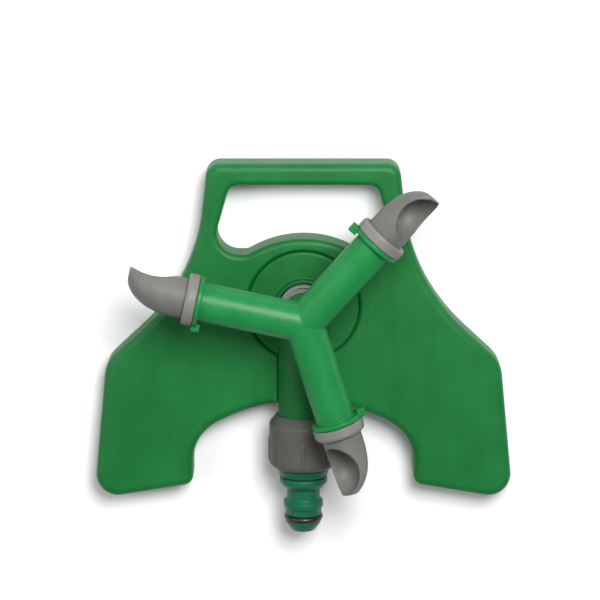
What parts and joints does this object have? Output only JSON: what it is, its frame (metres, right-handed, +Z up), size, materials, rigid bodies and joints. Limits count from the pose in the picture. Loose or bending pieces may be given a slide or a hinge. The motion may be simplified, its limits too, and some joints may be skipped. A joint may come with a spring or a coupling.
{
  "type": "sprinkler",
  "caption": "Rotating lawn sprinkler: armed spinner with twistable scoop nozzles on a flat carrying base with a grip hole and a push-fit hose spigot.",
  "frame": {"origin": "on the ground under the rotor's axis, at the middle of the base's foot pad", "axes": "+Z up along the rotor's axis, +Y towards the carrying handle, -Y out of the hose spigot, +X across the wide base"},
  "size_m": [0.1818, 0.162, 0.0564],
  "materials": {
    "base_green": "satin moulded",
    "waterway_green": "satin moulded",
    "rotor_green": "semi-gloss moulded",
    "connector_green": "semi-gloss moulded",
    "collar_grey": "satin",
    "nozzle_grey": "satin",
    "nut_grey": "satin",
    "spindle_grey": "satin",
    "washer_white": "smooth",
    "black_rubber": "smooth",
    "screw_steel": "zinc plated"
  },
  "bodies": {
    "base": {"base_plate": "base_green", "inlet_manifold": "waterway_green", "manifold_screws": "screw_steel", "pivot_spindle": "spindle_grey", "spindle_gasket": "black_rubber", "spindle_ring_seal": "black_rubber", "slip_washer": "washer_white"},
    "rotor": {"rotor_body": "rotor_green", "nozzle_collar_a": "collar_grey", "nozzle_collar_b": "collar_grey", "nozzle_collar_c": "collar_grey"},
    "jet_a": {"nozzle_a": "nozzle_grey", "nozzle_seal_a": "black_rubber"},
    "jet_b": {"nozzle_b": "nozzle_grey", "nozzle_seal_b": "black_rubber"},
    "jet_c": {"nozzle_c": "nozzle_grey", "nozzle_seal_c": "black_rubber"},
    "connector": {"hose_spigot": "connector_green", "spigot_o_ring": "black_rubber", "inlet_gasket": "black_rubber"},
    "nut": {"union_nut": "nut_grey"}
  },
  "joints": [
    {"name": "rotor_spin", "type": "hinge", "parent": "base", "child": "rotor", "pos_m": [0, 0, 0.0455], "axis": [0, 0, 1], "continuous": true},
    {"name": "nozzle_a_twist", "type": "hinge", "parent": "rotor", "child": "jet_a", "pos_m": [0.03065, 0.03404, 0.0455], "axis": [0.6691, 0.7431, 0], "continuous": true},
    {"name": "nozzle_b_twist", "type": "hinge", "parent": "rotor", "child": "jet_b", "pos_m": [-0.0448, 0.00952, 0.0455], "axis": [-0.9781, 0.2079, 0], "continuous": true},
    {"name": "nozzle_c_twist", "type": "hinge", "parent": "rotor", "child": "jet_c", "pos_m": [0.01415, -0.04356, 0.0455], "axis": [0.309, -0.9511, 0], "continuous": true},
    {"name": "connector_travel", "type": "slide", "parent": "base", "child": "connector", "axis": [0, -1, 0], "range_m": [0, 0.0073]},
    {"name": "nut_turn", "type": "hinge", "parent": "connector", "child": "nut", "pos_m": [0, -0.059, 0.016], "axis": [0, -1, 0], "range_deg": [0, 1440]}
  ],
  "couplings": [
    {"joint": "connector_travel", "follows": "nut_turn", "m_per_rad": 0.00028871}
  ]
}
